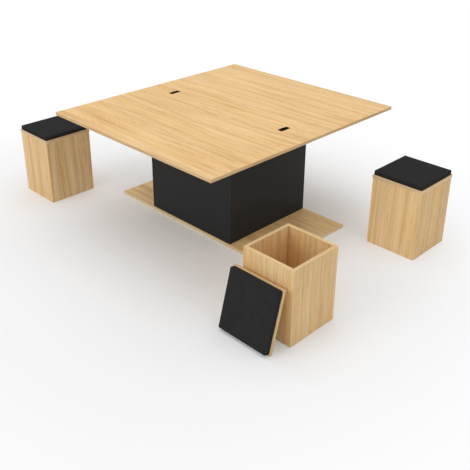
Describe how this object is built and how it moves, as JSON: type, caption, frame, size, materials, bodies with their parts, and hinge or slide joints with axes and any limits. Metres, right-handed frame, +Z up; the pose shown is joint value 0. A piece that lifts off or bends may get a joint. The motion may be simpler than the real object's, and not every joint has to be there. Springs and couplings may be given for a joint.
{
  "type": "lift-top coffee table with poufs",
  "caption": "Coffee table with a lift-and-fold top on a box base, raised and opened out, with storage poufs under padded lift-off lids.",
  "frame": {"origin": "centre of the base plate's underside, on the floor", "axes": "+X along the table, +Y towards the side that the folding leaf opens to, +Z up"},
  "size_m": [2.1275, 1.4744, 0.6157],
  "materials": {
    "oak_board": "light oak decor board, satin, fine straight grain",
    "anthracite_board": "matte anthracite board",
    "black_leather": "matte black faux leather with a fine pebbled grain",
    "black_steel": "black powder coat",
    "zinc_steel": "bright zinc plate",
    "chrome_steel": "polished chrome"
  },
  "bodies": {
    "base": {"base_plate": "oak_board", "box_front_panel": "anthracite_board", "box_left_panel": "anthracite_board", "box_rear_panel": "anthracite_board", "box_right_panel": "anthracite_board", "lift_bracket_left": "black_steel", "lift_bracket_right": "black_steel", "pivot_pin_front_lower_left": "zinc_steel", "pivot_pin_front_lower_right": "zinc_steel", "pivot_pin_rear_lower_left": "zinc_steel", "pivot_pin_rear_lower_right": "zinc_steel"},
    "front_arms": {"cross_tube": "black_steel", "front_arm_left": "black_steel", "front_arm_right": "black_steel"},
    "rear_arms": {"rear_arm_left": "black_steel", "rear_arm_right": "black_steel"},
    "top_carrier": {"carrier_leaf": "oak_board", "leaf_hinge_left_fixed_plate": "black_steel", "leaf_hinge_left_pin": "zinc_steel", "leaf_hinge_right_fixed_plate": "black_steel", "leaf_hinge_right_pin": "zinc_steel", "pivot_pin_front_upper_left": "zinc_steel", "pivot_pin_front_upper_right": "zinc_steel", "pivot_pin_rear_upper_left": "zinc_steel", "pivot_pin_rear_upper_right": "zinc_steel", "top_rail_left": "black_steel", "top_rail_right": "black_steel"},
    "folding_top": {"folding_leaf": "oak_board", "leaf_hinge_left_moving_plate": "black_steel", "leaf_hinge_right_moving_plate": "black_steel"},
    "strut_cylinders": {"strut_cylinder_left": "black_steel", "strut_cylinder_right": "black_steel"},
    "strut_rods": {"strut_rod_left": "chrome_steel", "strut_rod_right": "chrome_steel"},
    "left_pouf": {"left_pouf_floor_panel": "oak_board", "left_pouf_front_panel": "oak_board", "left_pouf_left_panel": "oak_board", "left_pouf_rear_panel": "oak_board", "left_pouf_right_panel": "oak_board"},
    "left_pouf_lid": {"left_pouf_lid_board": "oak_board", "left_pouf_lid_locating_board": "oak_board", "left_pouf_lid_pad": "black_leather"},
    "right_pouf": {"right_pouf_floor_panel": "oak_board", "right_pouf_front_panel": "oak_board", "right_pouf_left_panel": "oak_board", "right_pouf_rear_panel": "oak_board", "right_pouf_right_panel": "oak_board"},
    "right_pouf_lid": {"right_pouf_lid_board": "oak_board", "right_pouf_lid_locating_board": "oak_board", "right_pouf_lid_pad": "black_leather"},
    "open_pouf": {"open_pouf_floor_panel": "oak_board", "open_pouf_front_panel": "oak_board", "open_pouf_left_panel": "oak_board", "open_pouf_rear_panel": "oak_board", "open_pouf_right_panel": "oak_board"},
    "open_pouf_lid": {"open_pouf_lid_board": "oak_board", "open_pouf_lid_locating_board": "oak_board", "open_pouf_lid_pad": "black_leather"}
  },
  "joints": [
    {"name": "top_lift", "type": "hinge", "parent": "base", "child": "front_arms", "pos_m": [0, -0.19998, 0.2322], "axis": [-1, 0, 0], "range_deg": [0, 68.88]},
    {"name": "rear_arm_swing", "type": "hinge", "parent": "base", "child": "rear_arms", "pos_m": [0, -0.06999, 0.2322], "axis": [-1, 0, 0], "range_deg": [0, 68.89]},
    {"name": "top_level", "type": "hinge", "parent": "front_arms", "child": "top_carrier", "pos_m": [0, -0.26009, 0.577], "axis": [-1, 0, 0], "range_deg": [-68.89, 0]},
    {"name": "top_fold", "type": "hinge", "parent": "top_carrier", "child": "folding_top", "pos_m": [0, -0.0223, 0.6135], "axis": [1, 0, 0], "range_deg": [0, 180]},
    {"name": "strut_swing", "type": "hinge", "parent": "base", "child": "strut_cylinders", "pos_m": [0, -0.09498, 0.1272], "axis": [-1, 0, 0], "range_deg": [0, 34.36]},
    {"name": "strut_stroke", "type": "slide", "parent": "strut_cylinders", "child": "strut_rods", "axis": [0, 0.4614, -0.8872], "range_m": [0, 0.10023]},
    {"name": "left_pouf_slide", "type": "slide", "parent": "base", "child": "left_pouf", "axis": [1, 0, 0], "range_m": [-0.25, 0.17]},
    {"name": "right_pouf_slide", "type": "slide", "parent": "base", "child": "right_pouf", "axis": [-1, 0, 0], "range_m": [-0.25, 0.16]},
    {"name": "open_pouf_slide", "type": "slide", "parent": "base", "child": "open_pouf", "axis": [-1, 0, 0], "range_m": [-0.25, 0.155]},
    {"name": "left_pouf_lid_lift", "type": "slide", "parent": "left_pouf", "child": "left_pouf_lid", "axis": [0, 0, 1], "range_m": [0, 0.3]},
    {"name": "right_pouf_lid_lift", "type": "slide", "parent": "right_pouf", "child": "right_pouf_lid", "axis": [0, 0, 1], "range_m": [0, 0.3]},
    {"name": "open_pouf_lid_tilt", "type": "hinge", "parent": "open_pouf", "child": "open_pouf_lid", "pos_m": [0.906, -0.78674, 0], "axis": [1, 0, 0], "range_deg": [0, 15]}
  ],
  "couplings": [
    {"joint": "rear_arm_swing", "follows": "top_lift", "ratio": 1},
    {"joint": "top_level", "follows": "top_lift", "ratio": -1},
    {"joint": "strut_swing", "follows": "top_lift", "ratio": 0.49867},
    {"joint": "strut_stroke", "follows": "top_lift", "m_per_rad": 0.083287}
  ]
}
